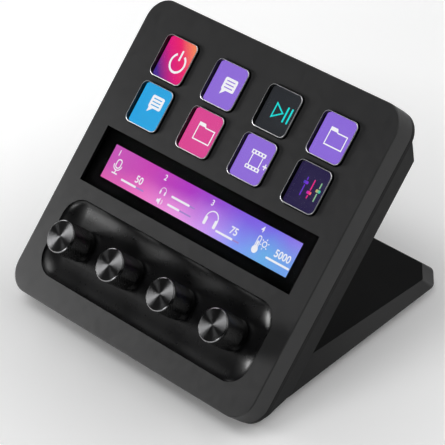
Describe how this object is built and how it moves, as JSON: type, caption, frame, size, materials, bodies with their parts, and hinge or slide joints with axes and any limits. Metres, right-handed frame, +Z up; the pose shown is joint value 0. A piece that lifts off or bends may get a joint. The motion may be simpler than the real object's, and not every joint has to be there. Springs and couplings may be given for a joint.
{
  "type": "macro keypad with knobs",
  "caption": "Tilted desk control pad: clear screen-lit keys and a touch bar above a trough of push dials, on a low weighted stand.",
  "frame": {"origin": "middle of the width and depth, on the desk under the rubber foot", "axes": "+X to the user's right, +Y to the back, +Z up"},
  "size_m": [0.1404, 0.1128, 0.0909],
  "materials": {
    "bezel": "fine matt moulding",
    "trough": "satin black",
    "bar_glass": "polished black glass",
    "sensor": "bonded film",
    "light_frame": "matt black",
    "switch_mat": "matt black",
    "screen": "lit display glass",
    "tray_steel": "zinc plated",
    "board": "solder mask",
    "chips": "moulded resin",
    "socket_shell": "drawn shell",
    "housing": "fine matt moulding",
    "screw_steel": "blackened",
    "key_acrylic": "clear polished acrylic",
    "collar": "matt black silicone",
    "encoder_case": "stamped case",
    "plunger": "moulded",
    "shaft_metal": "turned",
    "dial_grip": "satin black, knurled",
    "dial_face": "dark, fine turned rings",
    "stand": "polished top, satin sides",
    "ballast": "plain plate",
    "magnet": "nickel plated",
    "foot": "matt grippy"
  },
  "bodies": {
    "base": {"faceplate": "bezel", "dial_well": "trough", "touch_glass": "bar_glass", "touch_sensor": "sensor", "key_guide": "light_frame", "key_membrane": "switch_mat", "lcd_panel": "screen", "lcd_tray": "tray_steel", "keeper_plate": "tray_steel", "main_board": "board", "dial_board": "board", "board_chips": "chips", "usb_socket": "socket_shell", "rear_housing": "housing", "housing_screws": "screw_steel", "encoder_body_1": "encoder_case", "encoder_body_2": "encoder_case", "encoder_body_3": "encoder_case", "encoder_body_4": "encoder_case", "stand_base": "stand", "ballast_plate": "ballast", "stand_magnets": "magnet", "foot_pad": "foot"},
    "key_1": {"key_cap_1": "key_acrylic", "key_collar_1": "collar"},
    "key_2": {"key_cap_2": "key_acrylic", "key_collar_2": "collar"},
    "key_3": {"key_cap_3": "key_acrylic", "key_collar_3": "collar"},
    "key_4": {"key_cap_4": "key_acrylic", "key_collar_4": "collar"},
    "key_5": {"key_cap_5": "key_acrylic", "key_collar_5": "collar"},
    "key_6": {"key_cap_6": "key_acrylic", "key_collar_6": "collar"},
    "key_7": {"key_cap_7": "key_acrylic", "key_collar_7": "collar"},
    "key_8": {"key_cap_8": "key_acrylic", "key_collar_8": "collar"},
    "dial_push_1": {"switch_plunger_1": "plunger"},
    "dial_turn_1": {"dial_shaft_1": "shaft_metal", "dial_knob_1": "dial_grip", "dial_cap_1": "dial_face"},
    "dial_push_2": {"switch_plunger_2": "plunger"},
    "dial_turn_2": {"dial_shaft_2": "shaft_metal", "dial_knob_2": "dial_grip", "dial_cap_2": "dial_face"},
    "dial_push_3": {"switch_plunger_3": "plunger"},
    "dial_turn_3": {"dial_shaft_3": "shaft_metal", "dial_knob_3": "dial_grip", "dial_cap_3": "dial_face"},
    "dial_push_4": {"switch_plunger_4": "plunger"},
    "dial_turn_4": {"dial_shaft_4": "shaft_metal", "dial_knob_4": "dial_grip", "dial_cap_4": "dial_face"}
  },
  "joints": [
    {"name": "key_press_1", "type": "slide", "parent": "base", "child": "key_1", "axis": [0, 0.6266, -0.7793], "range_m": [0, 0.001], "stiffness_N_per_m": 500, "springref_m": -0.0004},
    {"name": "key_press_2", "type": "slide", "parent": "base", "child": "key_2", "axis": [0, 0.6266, -0.7793], "range_m": [0, 0.001], "stiffness_N_per_m": 500, "springref_m": -0.0004},
    {"name": "key_press_3", "type": "slide", "parent": "base", "child": "key_3", "axis": [0, 0.6266, -0.7793], "range_m": [0, 0.001], "stiffness_N_per_m": 500, "springref_m": -0.0004},
    {"name": "key_press_4", "type": "slide", "parent": "base", "child": "key_4", "axis": [0, 0.6266, -0.7793], "range_m": [0, 0.001], "stiffness_N_per_m": 500, "springref_m": -0.0004},
    {"name": "key_press_5", "type": "slide", "parent": "base", "child": "key_5", "axis": [0, 0.6266, -0.7793], "range_m": [0, 0.001], "stiffness_N_per_m": 500, "springref_m": -0.0004},
    {"name": "key_press_6", "type": "slide", "parent": "base", "child": "key_6", "axis": [0, 0.6266, -0.7793], "range_m": [0, 0.001], "stiffness_N_per_m": 500, "springref_m": -0.0004},
    {"name": "key_press_7", "type": "slide", "parent": "base", "child": "key_7", "axis": [0, 0.6266, -0.7793], "range_m": [0, 0.001], "stiffness_N_per_m": 500, "springref_m": -0.0004},
    {"name": "key_press_8", "type": "slide", "parent": "base", "child": "key_8", "axis": [0, 0.6266, -0.7793], "range_m": [0, 0.001], "stiffness_N_per_m": 500, "springref_m": -0.0004},
    {"name": "dial_press_1", "type": "slide", "parent": "base", "child": "dial_push_1", "axis": [0, 0.6266, -0.7793], "range_m": [0, 0.0006], "stiffness_N_per_m": 2500, "springref_m": -0.0004},
    {"name": "dial_spin_1", "type": "hinge", "parent": "dial_push_1", "child": "dial_turn_1", "pos_m": [-0.0447, -0.03512, 0.02589], "axis": [0, -0.6266, 0.7793], "continuous": true},
    {"name": "dial_press_2", "type": "slide", "parent": "base", "child": "dial_push_2", "axis": [0, 0.6266, -0.7793], "range_m": [0, 0.0006], "stiffness_N_per_m": 2500, "springref_m": -0.0004},
    {"name": "dial_spin_2", "type": "hinge", "parent": "dial_push_2", "child": "dial_turn_2", "pos_m": [-0.0149, -0.03512, 0.02589], "axis": [0, -0.6266, 0.7793], "continuous": true},
    {"name": "dial_press_3", "type": "slide", "parent": "base", "child": "dial_push_3", "axis": [0, 0.6266, -0.7793], "range_m": [0, 0.0006], "stiffness_N_per_m": 2500, "springref_m": -0.0004},
    {"name": "dial_spin_3", "type": "hinge", "parent": "dial_push_3", "child": "dial_turn_3", "pos_m": [0.0149, -0.03512, 0.02589], "axis": [0, -0.6266, 0.7793], "continuous": true},
    {"name": "dial_press_4", "type": "slide", "parent": "base", "child": "dial_push_4", "axis": [0, 0.6266, -0.7793], "range_m": [0, 0.0006], "stiffness_N_per_m": 2500, "springref_m": -0.0004},
    {"name": "dial_spin_4", "type": "hinge", "parent": "dial_push_4", "child": "dial_turn_4", "pos_m": [0.0447, -0.03512, 0.02589], "axis": [0, -0.6266, 0.7793], "continuous": true}
  ]
}
